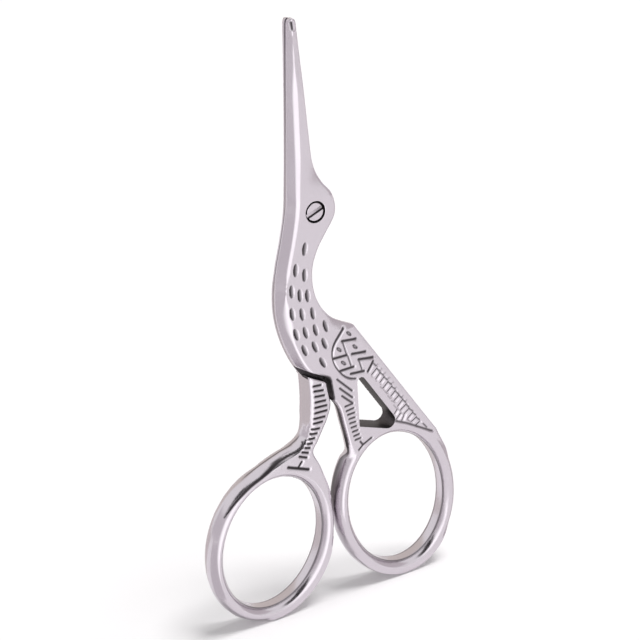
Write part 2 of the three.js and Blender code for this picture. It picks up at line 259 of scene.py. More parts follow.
# Distances inside the bird's front and back outlines, and its half thickness there: the least of a rise from
# the front edge, a bevel from the back edge and the face, with rounded ridges between. Along beak and neck a
# narrow facet lies between rise and face, and the beak's face falls away behind it. On the belly the facet
# gives way to a round ridge, and on the body the bevel is broader.
def birdField(x, z, lap):
    above = z - pivotZ
    x = x + lap * np.clip(above / bird["bladeLength"], 0, 1) ** 2
    fromBreast = rightOf(breastEdge, x, z)
    fromBack = -rightOf(backEdge, x, z)
    taper = np.clip((above - bird["taperStart"]) / (bird["bladeLength"] - bird["taperStart"]), 0, 1)
    face = mix(bird["half"], bird["tipHalf"], taper)
    beak = ease(above, *bird["beakRun"])
    neckEnd = ease(-above, *bird["neckEnd"])
    belly = ease(-above, *bird["bellyRun"])
    body = ease(-above, *bird["bodyRun"])
    leg = ease(-above, *bird["legRun"])
    frontLand = mix(mix(bird["land"], bird["beakLand"], beak), bird["legLand"], leg)
    slope = mix(mix(bird["bevelSlope"], bird["beakSlope"], beak), bird["legSlope"], leg)
    rise = frontLand + slope * fromBreast
    drop = mix(bird["backDrop"], bird["bodyDrop"], body)
    fall = face - drop + drop * fromBack / mix(bird["backBevel"], bird["bodyBevel"], body)
    facetWidth = mix(bird["neckFacet"], bird["facetWidth"], ease(above, *bird["facetRun"]))
    facetWidth = facetWidth * (1 - ease(above, *bird["facetEnd"])) * (1 - neckEnd)
    past = fromBreast - (face - frontLand) / slope - facetWidth
    facetDrop = -bird["facetSlope"] * (1 - neckEnd) * past
    face = face - softMax(facetDrop, bird["crestRight"] * beak * past, bird["crestRound"])
    ridge = mix(bird["bellyRound"], bird["lowerRound"], ease(-above, *bird["lowerRun"]))
    k = mix(mix(bird["facetRound"], ridge, belly), bird["legRound"], leg)
    k = mix(bird["heelRound"], k, ease(z, *bird["heelRun"]))  # the leg runs out softly into the ring
    high = softMin(softMin(rise, face, k), fall, mix(bird["backRound"], bird["bodyRound"], body))
    endHalf, endSlope, endRound = bird["tipEnd"]
    high = softMin(high, endHalf + endSlope * (tipZ - z), endRound)  # the tip's end rolls over
    return fromBreast, fromBack, high


# Inside distance of the whole blank: both outlines, the rounded tip and the end at the heel.
def birdInside(fromBreast, fromBack, z):
    return np.minimum(softMin(np.minimum(fromBreast, fromBack), tipZ - z, bird["tipRound"]), z - heel[1])


# Distance outside the three-sided window: to its nearest side, less than zero where an odd number of sides
# lies to the right. Points further away than its reach all count as the reach.
def outsideWindow(x, z):
    reach = window["reach"]
    low, high = windowLine.min(axis=0) - reach, windowLine.max(axis=0) + reach
    close = (x > low[0]) & (x < high[0]) & (z > low[1]) & (z < high[1])
    px, pz = x[close], z[close]
    least, inside = np.full(px.shape, reach ** 2), np.zeros(px.shape, bool)
    for (ax, az), (bx, bz) in zip(windowLine, np.roll(windowLine, -1, axis=0)):
        ex, ez = bx - ax, bz - az
        t = np.clip(((px - ax) * ex + (pz - az) * ez) / (ex * ex + ez * ez), 0, 1)
        least = np.minimum(least, (px - ax - t * ex) ** 2 + (pz - az - t * ez) ** 2)
        if ez:
            inside ^= ((az > pz) != (bz > pz)) & (px < ax + ex * (pz - az) / ez)
    out = np.full(x.shape, reach)
    out[close] = np.where(inside, -1, 1) * np.sqrt(least)
    return out


# Distance outside the cut under the belly, where the left leg has room.
def outsideBelly(x, z):
    over = -leftOfLine(crotch, bellyLeft, x, z)
    beside = leftOfLine(legTop, crotch, x, z)
    return softMax(np.maximum(over, legTop[1] - z), -beside, bird["bellyCorner"])


# Distance inside the room behind the front half: left of the shoulder line, or above its top.
def rearRoom(x, z, inset):
    left = np.maximum(-rightOf(shoulderEdge, x + inset, z), z - shoulderEdge["z"][-1])
    return np.minimum(left, z - shoulderEdge["z"][0])


# distance from the screw's axis
def pivotRadius(x, z):
    return np.hypot(x - pivotX, z - pivotZ)


# Inside distance of the bird in front, less the belly cut.
def frontBody(x, z):
    fromBreast, fromBack, _ = birdField(x, z, 0)
    return np.minimum(birdInside(fromBreast, fromBack, z), outsideBelly(x, z))


# Front half's outline: bird outside its ring's centre line, and ring bar, less window and screw hole.
def frontInside(x, z):
    rho = ringOffset(rings["right"], x, z)
    whole = softMax(np.minimum(frontBody(x, z), rho), rings["barHalf"] - np.abs(rho), rings["fillet"])
    hole = pivotRadius(x, z) - screw["headRadius"] - screw["headRoom"]
    return np.minimum(np.minimum(whole, outsideWindow(x, z)), hole)


# Its half thickness: the bird's, fading inside the ring's centre line, against the ring's dome.
def frontHigh(x, z):
    rho = ringOffset(rings["right"], x, z)
    high = birdField(x, z, 0)[2] - rings["fade"] * np.maximum(-rho, 0)
    return np.clip(softMax(high, ringHalf(rho), rings["blend"]), bird["beakLand"], bird["half"])


# Its back face is rounded away behind the shoulder and the leg's left edge, as a square of the nearness.
def frontBackHigh(x, z):
    shoulder = np.clip(1 + rightOf(backEdge, x, z) / bird["shoulderRound"], 0, 1) ** 2
    shoulder = shoulder * ease(z, *bird["shoulderRise"]) * (1 - ease(z, *bird["shoulderEnd"]))
    edge = np.clip(1 - rightOf(breastEdge, x, z) / bird["shoulderRound"], 0, 1) ** 2
    edge = edge * ease(pivotZ - z, *bird["legRun"]) * ease(z, *bird["legBackRun"])
    return frontHigh(x, z) - bird["shoulderDrop"] * np.maximum(shoulder, edge)


# Its walls bulge where the ring is clear of the bird.
def frontSwell(x, z):
    return ringSwell(rings["right"], ease(-frontBody(x, z), *rings["freeRun"]), x, z)


# Inside distance of the left leg: between its two edges, below its top and above its end.
def legBody(x, z):
    leg = np.minimum(rightOf(legOuterEdge, x, z), -rightOf(legInnerEdge, x, z))
    return np.minimum(leg, np.minimum(legOuterEdge["z"][-1] - z, z - legInnerEdge["z"][0]))


# Left leg and left ring together.
def legInside(x, z):
    rho = ringOffset(rings["left"], x, z)
    return softMax(np.minimum(legBody(x, z), rho), rings["barHalf"] - np.abs(rho), rings["fillet"])


# 0 along the straight leg, 1 at its foot, where the left edge is rounded as the ring is.
def footShare(z):
    return ease(leftLeg["footTop"] - z, 0, leftLeg["footRun"])


# Distance right of the leg's outer edge. Round the foot, where that edge turns, it is the distance to the
# nearest of its pieces.
def rightOfFoot(x, z):
    level = rightOf(legOuterEdge, x, z)
    low, high = leftLeg["nearHeights"]
    close = (z < high) & (z > low) & (x < leftLeg["nearRight"])
    pieces = {"lines": np.hstack([legOuterLine[:-1], legOuterLine[1:]])}
    nearest = np.sign(level[close]) * toLines(x[close], z[close], pieces)
    level[close] = mix(level[close], nearest, ease(leftLeg["nearTop"] - z[close], 0, leftLeg["nearRun"]))
    return level


# The leg's half thickness: a face bevelled along both edges. At the foot the outer bevel becomes a dome, a
# square of the nearness. It falls off past its edges, over its top and inside the ring's centre line, and
# stands against the ring's dome.
def legHigh(x, z):
    leg, half = leftLeg, bird["half"]
    rho = ringOffset(rings["left"], x, z)
    fromOuter, fromInner = rightOfFoot(x, z), -rightOf(legInnerEdge, x, z)
    near = np.minimum(fromOuter, fromInner)

    def bevelled(d):
        slope = half - leg["edgeDrop"] + leg["edgeDrop"] * d / leg["edgeBevel"]
        return softMin(slope, half, leg["edgeRound"])

    reach = mix(rings["barHalf"] - rings["swell"], leg["footReach"], ease(z, *leg["reachRun"]))
    out = np.clip(1 - (fromOuter - rings["swell"]) / reach, 0, leg["domeEnd"])
    domed = np.minimum(bevelled(fromInner), half - leg["footDrop"] * out ** 2)
    high = mix(bevelled(near), domed, footShare(z))
    high = high - leg["sideFall"] * np.maximum(-leg["sideStart"] - near, 0)
    high = high - rings["fade"] * np.maximum(-rho, 0)
    high = high - leg["topFall"] * np.maximum(z - legOuterEdge["z"][-1], 0)
    return np.clip(softMax(high, ringHalf(rho), rings["blend"]), bird["land"], half)


# Inside distance of the rear half's plate behind the bird.
def rearBody(x, z):
    fromBreast, fromBack, _ = birdField(x, z, bird["bladeLap"])
    return np.minimum(birdInside(fromBreast, fromBack, z), rearRoom(x, z, bird["shoulderGap"]))


# Rear half's outline: the plate, or the leg and ring, less the threaded hole.
def rearInside(x, z):
    hole = pivotRadius(x, z) - screw["shankRadius"] - screw["threadRoom"]
    return np.minimum(np.maximum(rearBody(x, z), legInside(x, z)), hole)


# Its half thickness: the bird's, falling off past the plate's edges, against the leg's.
def rearHigh(x, z):
    fromBreast, fromBack, high = birdField(x, z, bird["bladeLap"])
    off = np.minimum(fromBreast, fromBack)
    high = np.where(off > 0, high, high + bird["plateFall"] * off)
    high = high - bird["plateFall"] * np.maximum(-rearRoom(x, z, bird["shoulderGap"]), 0)
    return np.minimum(softMax(high, legHigh(x, z), bird["plateBlend"]), bird["half"])


# Its walls bulge where the ring is clear of plate and leg, and round the foot.
def rearSwell(x, z):
    foot = footShare(z) * (1 - ease(rightOf(legOuterEdge, x, z), *leftLeg["footSwellRun"]))
    free = ease(-np.maximum(rearBody(x, z), legBody(x, z)), *rings["freeRun"])
    return ringSwell(rings["left"], np.maximum(free, foot), x, z)


# Where the left leg and ring come forward of the parting: below the belly's gap.
def legForward(x, z):
    drop = np.array([0, bird["bellyGap"]])
    return np.minimum(leftOfLine(crotch - drop, bellyLeft - drop, x, z), legInside(x, z))


# A small roll-over along an edge, as drawn by a quarter circle.
def rolled(inside, r):
    d = np.clip(inside, 0, r)
    return r - np.sqrt(np.maximum(r * r - (r - d) ** 2, 0))


# places are x and z over the floor, halves are long and short half lengths
engraving = {
    "feathers": [
        (-3.04, 59.61), (-4.79, 56.66), (-3.34, 55.56), (-5.69, 53.51), (-4.34, 52.56), (-3.04, 52.21),
        (-5.84, 49.96), (-4.19, 49.51), (-2.34, 49.21), (-5.39, 46.56), (-3.79, 46.46), (-2.04, 46.41),
        (-0.24, 46.56), (-4.14, 43.66), (-2.34, 43.76), (-0.64, 43.86), (-1.14, 40.86)],
    "featherHalf": (1.1, 0.43), "featherBowl": (1.2, 0.52), "featherDepth": 0.13, "featherDark": 1.0,
    "featherShade": (0.8, 1.3), "featherPalest": 0.35, "featherRim": 0.2,
    "leanHeights": [41, 53, 60], "leanDegrees": [-25, 0, 11],
    "wingEyes": [(3.75, 44.29), (1.87, 42.16), (4.69, 41.87), (2.51, 39.76)],
    "eyeHalf": (0.66, 0.29), "eyeLean": 135, "eyeDepth": 0.1, "eyeDark": 0.95,
    "eyeRim": 0.3, "eyeMiddle": (0.6, 0.95), "eyePale": 0.4,
    "wingArc": [
        (2.81, 45.32), (2.01, 44.39), (1.14, 43.31), (0.67, 42.12), (0.67, 40.79), (1.21, 39.31),
        (2.39, 37.72), (3.54, 36.9), (4.57, 36.58)],
    "arcTaper": [1.15, 1.2, 1.0, 0.7, 0.55, 0.6, 0.75, 0.85, 0.7],
    # a shallow groove along the left foot where the leg meets its ring, darkened as a painted dark
    # reflection; its width tapers as listed
    "footGrooveReflection": [
        (-5.0, 28.9), (-5.28, 28.24), (-5.85, 27.6), (-6.8, 27.33), (-8.2, 27.02), (-9.3, 26.74),
        (-10.35, 26.34), (-11.5, 25.69), (-13.0, 24.98), (-14.8, 24.21), (-16.3, 23.28), (-17.6, 22.3),
        (-18.8, 21.15), (-19.6, 20.2)],
    "footReflectionTaper": [0.25, 0.42, 0.55, 0.55, 0.65, 0.9, 1.15, 1.0, 0.9, 0.9, 0.8, 0.65, 0.45, 0.15],
    # painted shade along the belly's cut and the right leg's left edge: its width, darkness, and rise and end
    # in height
    "crotchShadeWidth": 0.32, "crotchShadeDark": 0.95, "crotchShadeRise": (33, 34.5), "crotchShadeEnd": (38.5, 39.5),
    "flank": 0.06, "grooveRun": (0.3, 1.1), "darkRun": (0.28, 0.7),  # the runs are shares of a cut's width
}
# Straight cuts in groups: width and depth in mm, how dark, and lines as x, z, x, z. A group may have its own
# flank, how far the groove lies to the right of its dark bottom and below it, and reach, its groove's width.
bodyCutGroups = {
    "wingArc": {"width": 0.42, "depth": 0.12, "dark": 0.92},
    "wingBars": {"width": 0.46, "depth": 0.12, "dark": 0.95, "lines": [
        (2.5, 43.35, 4.96, 43.08), (0.91, 40.9, 3.14, 40.87), (4.13, 40.79, 6.53, 40.53),
        (5.23, 39.6, 7.88, 39.19), (1.96, 38.58, 4.26, 38.64), (3.75, 37.6, 6.08, 37.42),
        (6.79, 37.15, 7.84, 38.57)]},
    "wingLines": {"width": 0.28, "depth": 0.08, "dark": 0.82, "lines": [
        (2.5, 43.35, 3.15, 40.99), (3.3, 40.8, 3.89, 38.71), (5.23, 39.6, 5.76, 37.59)]},
    "tailBars": {"width": 0.28, "depth": 0.18, "dark": 0.92, "flank": (0.16, 0.12), "reach": 1.6, "lines": [
        (7.43, 36.4, 8.44, 37.24), (8.17, 35.51, 9.0, 36.36), (8.9, 34.73, 9.66, 35.41),
        (9.43, 33.65, 10.35, 34.4), (10.11, 32.81, 10.96, 33.42), (10.75, 31.85, 11.58, 32.51),
        (11.32, 30.95, 12.24, 31.58), (11.89, 29.8, 12.87, 30.66), (12.38, 29.0, 13.49, 29.66),
        (13.06, 28.22, 13.98, 28.77), (13.64, 27.22, 14.61, 27.93), (14.32, 26.44, 15.24, 26.91),
        (15.09, 25.63, 15.83, 25.99), (11.51, 27.64, 12.31, 28.4), (11.21, 28.68, 11.68, 29.2),
        (12.56, 27.21, 12.95, 27.92)]},
    "tailRails": {"width": 0.25, "depth": 0.07, "dark": 0.8, "lines": [
        (7.92, 38.15, 8.29, 37.69), (8.44, 37.24, 8.95, 36.54), (9.0, 36.36, 9.58, 35.71),
        (9.66, 35.41, 10.24, 34.76), (10.35, 34.4, 10.94, 33.79), (10.96, 33.42, 11.6, 32.83),
        (11.58, 32.51, 12.16, 31.77), (12.24, 31.58, 12.75, 30.94), (12.87, 30.66, 13.41, 30.01),
        (13.49, 29.66, 13.95, 29.03), (13.98, 28.77, 14.63, 28.17), (14.61, 27.93, 15.13, 27.36),
        (15.24, 26.91, 15.8, 26.33), (16.44, 25.48, 17.13, 24.61)]},
    "tailTicks": {"width": 0.2, "depth": 0.05, "dark": 0.45, "lines": [
        (8.42, 37.69, 8.65, 37.87), (9.11, 36.65, 9.36, 36.94), (9.64, 35.86, 9.93, 36.06),
        (10.38, 34.88, 10.65, 35.05), (10.98, 33.86, 11.3, 34.05), (11.6, 32.87, 11.83, 33.05),
        (12.8, 31.13, 13.03, 31.27), (13.42, 30.21, 13.63, 30.36), (8.83, 34.02, 9.25, 33.58),
        (9.62, 33.03, 9.99, 32.51), (10.14, 32.1, 10.57, 31.49), (10.71, 31.12, 11.22, 30.73),
        (11.11, 30.23, 11.69, 29.44), (11.73, 29.35, 12.28, 28.86), (12.27, 28.53, 12.96, 28.04),
        (13.45, 27.11, 14.18, 26.36)]},
    "tailBorder": {"width": 0.34, "depth": 0.1, "dark": 0.85, "lines": [
        (11.41, 27.39, 13.51, 26.39), (13.51, 26.39, 18.18, 23.62)]},
    "rightLeg": {"width": 0.36, "depth": 0.1, "dark": 0.92, "lines": [
        (1.25, 37.37, 3.74, 34.79), (1.63, 35.77, 3.75, 33.66), (1.94, 34.41, 3.77, 32.68),
        (2.39, 32.48, 3.74, 32.61), (2.58, 31.66, 3.85, 31.82), (2.78, 30.97, 3.97, 31.03),
        (2.98, 30.19, 3.98, 30.22), (3.09, 29.44, 4.07, 29.44), (3.29, 28.65, 4.19, 28.69),
        (3.49, 27.87, 4.39, 27.94), (3.68, 27.08, 4.59, 27.19), (3.88, 26.36, 4.82, 26.45),
        (4.75, 25.84, 5.21, 25.17), (5.21, 25.17, 6.81, 25.91), (5.21, 25.17, 4.43, 24.51)]},
    "tipNick": {"width": 0.36, "depth": 0.12, "dark": 0.95, "lines": [(-2.2, 92.4, -2.25, 93.35)]},
}
legCutGroups = {
    "rungs": {"width": 0.42, "depth": 0.12, "dark": 1.0, "lines": [
        (-2.9, 37.37, -1.69, 37.28), (-2.83, 36.51, -1.35, 36.32), (-2.75, 35.6, -1.19, 35.43),
        (-2.76, 34.66, -1.03, 34.54), (-2.87, 33.79, -0.89, 33.68), (-2.93, 32.91, -0.89, 32.83),
        (-3.13, 32.02, -1.31, 31.92), (-3.22, 31.22, -1.82, 31.2), (-3.59, 30.33, -2.41, 30.24),
        (-3.86, 29.61, -2.9, 29.55), (-4.11, 28.85, -3.38, 28.87), (-4.5, 28.18, -3.83, 28.15),
        (-5.0, 27.67, -4.29, 27.47), (-5.62, 27.12, -4.65, 26.76), (-6.18, 26.57, -4.95, 26.05),
        (-5.86, 25.59, -6.45, 24.89)]},
    # the foot's shallow groove with a painted dark reflection along it
    "footGrooveReflection": {"width": 0.48, "depth": 0.05, "dark": 0.95},
    "footBar": {"width": 0.52, "depth": 0.12, "dark": 1.0, "lines": [(-8.25, 25.36, -4.76, 23.97)]},
}


# Gives a group the short pieces of a smooth line, each as broad as the taper says at its place.
def cutAlong(group, points, taper, perSpan=3):
    line = smoothLine(points, perSpan)
    group["lines"] = np.hstack([line[:-1], line[1:]]).tolist()
    group["taper"] = np.interp(np.arange(len(line) - 1) / perSpan, np.arange(len(taper)), taper)


cutAlong(bodyCutGroups["wingArc"], engraving["wingArc"], engraving["arcTaper"])
cutAlong(legCutGroups["footGrooveReflection"], engraving["footGrooveReflection"], engraving["footReflectionTaper"])


# Depth and darkness of groups of cuts, each an S of the distance from a cut's line. The groove is wider than
# its dark bottom and lies a little to the right of it, so that the right flank stays bright.
def straightCuts(x, z, groups):
    depth, dark = np.zeros_like(x), np.zeros_like(x)
    for group in groups.values():
        width, (right, down) = group["width"], group.get("flank", (engraving["flank"], 0.0))
        start, reach = engraving["grooveRun"][0], group.get("reach", engraving["grooveRun"][1])
        groove = ease(toLines(x - right, z + down, group), start * width, reach * width)
        depth = np.maximum(depth, group["depth"] * (1 - groove))
        bottom = ease(toLines(x, z, group), *(share * width for share in engraving["darkRun"]))
        dark = np.maximum(dark, group["dark"] * (1 - bottom))
    return depth, dark


# An oval punch mark: a bowl, one less the squared oval radius, and how far left in it a point lies, -1 to 1.
def punch(x, z, place, halves, lean):
    dx, dz = x - place[0], z - place[1]
    along = (dx * np.sin(lean) + dz * np.cos(lean)) / halves[0]
    across = (dx * np.cos(lean) - dz * np.sin(lean)) / halves[1]
    return np.clip(1 - along ** 2 - across ** 2, 0, 1), -np.clip(across, -1, 1)


# Everything cut into the body: depth, and how dark it is from 0 to 1: oxide in the cuts, with painted shade
# darkest under each feather's left edge.
def bodyCuts(x, z):
    depth, dark = straightCuts(x, z, bodyCutGroups)
    for place in engraving["feathers"]:
        lean = math.radians(np.interp(place[1], engraving["leanHeights"], engraving["leanDegrees"]))
        bowl = punch(x - engraving["flank"], z, place, engraving["featherBowl"], lean)[0]
        depth = np.maximum(depth, engraving["featherDepth"] * bowl)
        mark, left = punch(x, z, place, engraving["featherHalf"], lean)
        # painted shade: each feather's darkness is stronger under its left edge, where shade falls
        shade = mix(*engraving["featherShade"], left)  # darkest under the left edge
        shade = np.clip(shade, engraving["featherPalest"], 1)
        dark = np.maximum(dark, engraving["featherDark"] * ease(mark, 0, engraving["featherRim"]) * shade)
    for place in engraving["wingEyes"]:
        eye = punch(x, z, place, engraving["eyeHalf"], math.radians(engraving["eyeLean"]))[0]
        depth = np.maximum(depth, engraving["eyeDepth"] * eye)
        paler = engraving["eyePale"] * ease(eye, *engraving["eyeMiddle"])
        dark = np.maximum(dark, engraving["eyeDark"] * (ease(eye, 0, engraving["eyeRim"]) - paler))
    return depth, dark


# The front half's: the body's, painted shade along the belly's cut and the leg's left edge by the crotch, and
# painted shade along the ring's inner edge.
def frontCuts(x, z):
    depth, dark = bodyCuts(x, z)
    edge = np.minimum(outsideBelly(x, z), rightOf(breastEdge, x, z))
    # painted shade by the crotch, fading in and out over height
    crotchShade = 1 - ease(edge, 0.5 * engraving["crotchShadeWidth"], engraving["crotchShadeWidth"])
    crotchShade = crotchShade * ease(z, *engraving["crotchShadeRise"]) * (1 - ease(z, *engraving["crotchShadeEnd"]))
    dark = np.maximum(dark, engraving["crotchShadeDark"] * crotchShade)
    return depth, np.maximum(dark, rings["edgeShadeDark"] * ringEdgeShade(rings["right"], x, z))


# The left leg's and ring's, with painted shade along the ring's inner edge.
def legCuts(x, z):
    depth, dark = straightCuts(x, z, legCutGroups)
    return depth, np.maximum(dark, rings["edgeShadeDark"] * ringEdgeShade(rings["left"], x, z))


# keep, seamMove and rimMove are shares of a grid cell, slopeStep is how far off a field is read for its slope
gridding = {"keep": 0.5, "seamMove": 0.8, "rimMove": 0.9, "slopeStep": 0.02, "leastSlope": 0.05,
            "moves": 5, "bulgePower": 2.1}
proudFace, rimWall, lowFace, stepWall = range(4)  # kinds of face
polishedFinish, rawFinish, satinFinish = range(3)  # material slots


# A field's slopes in x and in z, each times two steps.
def differences(field, x, z):
    step = gridding["slopeStep"]
    return field(x + step, z) - field(x - step, z), field(x, z + step) - field(x, z - step)


# Moves points onto a field's zero line by a few steps along its slope.
def ontoLine(field, x, z, most):
    x0, z0 = x.copy(), z.copy()
    for _ in range(gridding["moves"]):
        value = field(x, z)
        gx, gz = (d / (2 * gridding["slopeStep"]) for d in differences(field, x, z))
        size = np.maximum(gx * gx + gz * gz, gridding["leastSlope"])
        x = np.clip(x - value * gx / size, x0 - most, x0 + most)
        z = np.clip(z - value * gz / size, z0 - most, z0 + most)
    return x, z


# grid points at a corner of any of these cells
def touched(cells):
    hit = np.zeros((cells.shape[0] + 1, cells.shape[1] + 1), bool)
    for i in (slice(0, -1), slice(1, None)):
        for j in (slice(0, -1), slice(1, None)):
            hit[i, j] |= cells
    return hit


# Corners of a wall on each marked grid edge, from one row of point numbers to the next.
def wallCorners(mask, axis, nearIds, farIds, flip):
    shift, along = ((1, 0), (0, 1)) if axis == 0 else ((0, 1), (1, 0))
    i, j = np.nonzero(mask)
    i, j = i + shift[0], j + shift[1]
    p, q = (i, j), (i + along[0], j + along[1])
    corners = np.stack([nearIds[p], nearIds[q], farIds[q], farIds[p]], axis=1)
    return corners[:, ::-1] if flip else corners


# A mesh of four-sided faces, with a finish for each face and a darkness for each point: oxide in the cuts,
# and painted shade and painted reflection where they are drawn in.
def meshPiece(name, points, quads, finish, dark, sharp):
    mesh = bpy.data.meshes.new(name)
    mesh.vertices.add(len(points))
    mesh.vertices.foreach_set("co", (points * mm).astype(np.float32).ravel())
    mesh.loops.add(quads.size)
    mesh.loops.foreach_set("vertex_index", quads.astype(np.int32).ravel())
    mesh.polygons.add(len(quads))
    mesh.polygons.foreach_set("loop_start", np.arange(0, quads.size, 4, dtype=np.int32))
    mesh.polygons.foreach_set("material_index", finish.astype(np.int32))
    mesh.polygons.foreach_set("use_smooth", np.ones(len(quads), bool))
    mesh.update(calc_edges=True)
    # the per-point darkness: oxide in the cuts, and painted shade and painted reflection on edges, walls and
    # creases
    mesh.attributes.new("recess", "FLOAT", "POINT").data.foreach_set("value", dark.astype(np.float32))
    mesh.set_sharp_from_angle(angle=math.radians(sharp))
    piece = bpy.data.objects.new(name, mesh)
    bpy.context.scene.collection.objects.link(piece)
    print(name, len(points), "points", 2 * len(quads), "triangles")
    return piece


# A plate over a square grid in x and z. Cells inside the outline are kept and their rim is moved onto it.
# Each face may have a step: where stepFront or stepBack is above zero it stands proud. Walls close the rim
# and the steps. Sheets give y over x and z: [recessed, proud] for the front and for the back. A rim wall runs
# in rows from front to back and bulges out by swell at mid thickness, less by a power of y towards the faces.
# Where the spec has rawStep, steps are raw and recessed faces satin, or raw where rawFace says so.
def plate(name, spec, outline, swell, front, back, stepFront=None, stepBack=None,
          rawWall=nothing, rawFace=nothing, wallDark=None):
    def inside(x, z):
        return outline(x, z) - swell(x, z)

    cell, rows = spec["cell"], spec["rows"]
    (x0, z0), (x1, z1) = spec["low"], spec["high"]
    gx, gz = np.meshgrid(np.arange(x0 - cell, x1 + 2 * cell, cell),
                         np.arange(z0 - cell, z1 + 2 * cell, cell), indexing="ij")
    value = inside(gx, gz)
    deep = np.minimum(np.minimum(value[:-1, :-1], value[1:, :-1]), np.minimum(value[:-1, 1:], value[1:, 1:]))
    kept = deep > -gridding["keep"] * cell
    kept[0], kept[-1], kept[:, 0], kept[:, -1] = False, False, False, False
    mx, mz = gx[:-1, :-1] + cell / 2, gz[:-1, :-1] + cell / 2
    proudFront = np.ones_like(kept) if stepFront is None else stepFront(mx, mz) > 0
    proudBack = np.ones_like(kept) if stepBack is None else stepBack(mx, mz) > 0

    rim = touched(kept) & touched(~kept)
    for step, proud in ((stepFront, proudFront), (stepBack, proudBack)):
        if step is not None:
            seam = touched(kept & proud) & touched(kept & ~proud) & ~rim
            gx[seam], gz[seam] = ontoLine(step, gx[seam], gz[seam], gridding["seamMove"] * cell)
    gx[rim], gz[rim] = ontoLine(inside, gx[rim], gz[rim], gridding["rimMove"] * cell)

    outX, outZ = (-d for d in differences(inside, gx[rim], gz[rim]))
    size = np.hypot(outX, outZ) + 1e-9
    outward = np.stack([outX / size, np.zeros_like(outX), outZ / size], axis=1)
    bulge = swell(gx[rim], gz[rim])

    points, darks, ids, heights = [], [], {}, {}
    count = 0
    for sheet, (low, high), proud in (("front", front, proudFront), ("back", back, proudBack)):
        for level, shape in ((False, low), (True, high)):
            here = touched(kept & (proud == level))
            index = np.full(gx.shape, -1)
            index[here] = count + np.arange(here.sum())
            ids[sheet, level] = index
            heights[sheet, level] = np.zeros(gx.shape)
            if here.any():
                y, dark = shape(gx[here], gz[here])
                points.append(np.stack([gx[here], y, gz[here]], axis=1))
                darks.append(dark)
                heights[sheet, level][here] = y
                count += len(y)

    def wallRows(f, g):  # point numbers of each row of a rim wall, front to back
        nonlocal count
        here = (rim & touched(kept & (proudFront == f) & (proudBack == g)))[rim]
        numbers = [ids["front", f]]
        x, z = gx[rim][here], gz[rim][here]
        near, far = heights["front", f][rim][here], heights["back", g][rim][here]
        most = np.maximum(np.abs(near), np.abs(far))
        for k in range(1, rows):
            y = mix(near, far, k / rows)
            off = bulge[here] * (1 - np.abs(y / most) ** gridding["bulgePower"])
            points.append(np.stack([x, y, z], axis=1) + off[:, None] * outward[here])
            # wallDark gives the wall rows their darkness: painted shade, painted reflection and a dark line
            darks.append(wallDark(x, y, z))
            row, onRim = np.full(gx.shape, -1), np.full(len(here), -1)
            onRim[here] = count + np.arange(len(y))
            row[rim] = onRim
            numbers.append(row)
            count += len(y)
        return numbers + [ids["back", g]]

    quads, kinds = [], []

    def add(corners, kind):
        if len(corners):
            quads.append(corners)
            kinds.append(np.full(len(corners), kind))

    for sheet, proud, order in (("front", proudFront, (0, 1, 2, 3)), ("back", proudBack, (0, 3, 2, 1))):
        for level in (False, True):
            i, j = np.nonzero(kept & (proud == level))
            index = ids[sheet, level]
            corners = np.stack([index[i, j], index[i + 1, j], index[i + 1, j + 1], index[i, j + 1]], axis=1)
            add(corners[:, order], proudFace if level else lowFace)

    # a wall on every grid edge where the solid ends or a step falls, facing away from the higher side
    levels = [(f, g) for f in (False, True) for g in (False, True)]
    rimRows = {pair: wallRows(*pair) for pair in levels}
    for axis in (0, 1):
        a = tuple(slice(0, -1) if k == axis else slice(None) for k in (0, 1))
        b = tuple(slice(1, None) if k == axis else slice(None) for k in (0, 1))
        for near, far, flip in ((a, b, axis == 0), (b, a, axis == 1)):
            for f, g in levels:
                ends = kept[near] & ~kept[far] & (proudFront[near] == f) & (proudBack[near] == g)
                for nearRow, farRow in zip(rimRows[f, g][:-1], rimRows[f, g][1:]):
                    add(wallCorners(ends, axis, nearRow, farRow, flip), rimWall)
            both = kept[near] & kept[far]
            falls = both & proudFront[near] & ~proudFront[far]
            add(wallCorners(falls, axis, ids["front", True], ids["front", False], flip), stepWall)
            falls = both & proudBack[near] & ~proudBack[far]
            add(wallCorners(falls, axis, ids["back", False], ids["back", True], flip), stepWall)

    points, darks = np.vstack(points), np.concatenate(darks)
    quads, kinds = np.vstack(quads), np.concatenate(kinds)
    x, _, z = points[quads].mean(axis=1).T
    finish = np.where((kinds == rimWall) & (rawWall(x, z) > 0), rawFinish, polishedFinish)
    if spec["rawStep"]:
        lowFinish = np.where(rawFace(x, z) > 0, rawFinish, satinFinish)
        finish = np.where(kinds == stepWall, rawFinish, np.where(kinds == lowFace, lowFinish, finish))
    return meshPiece(name, points, quads, finish, darks, spec["sharp"])


# a level face with nothing cut into it
def flatAt(y):
    return lambda x, z: (np.full(x.shape, y), np.zeros(x.shape))


# A worked face: half thickness less the edge's roll-over and the cuts, on the front (-1) or back (+1).
def workedFace(side, high, inside, cuts, roll):
    def face(x, z):
        depth, dark = cuts(x, z)
        return side * (high(x, z) - rolled(inside(x, z), roll) - depth), dark
    return face


